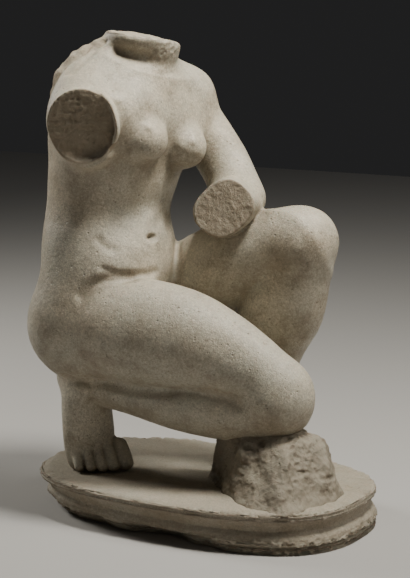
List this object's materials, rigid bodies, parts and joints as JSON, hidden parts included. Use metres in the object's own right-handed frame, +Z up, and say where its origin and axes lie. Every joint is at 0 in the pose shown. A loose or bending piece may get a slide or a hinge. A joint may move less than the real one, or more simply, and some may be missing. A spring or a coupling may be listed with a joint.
{
  "type": "statue",
  "caption": "Headless crouching nude female figure in weathered marble, kneeling on a rough rock, carved in one block with a moulded oval plinth.",
  "frame": {"origin": "centre of the plinth's flat underside", "axes": "+Z up, +X along the plinth towards the figure's knees, +Y towards the figure's left side"},
  "size_m": [0.5645, 0.3689, 0.7679],
  "materials": {
    "marble": "weathered, matt, warm grey patina"
  },
  "bodies": {
    "root": {"crouching_venus": "marble"}
  },
  "joints": []
}
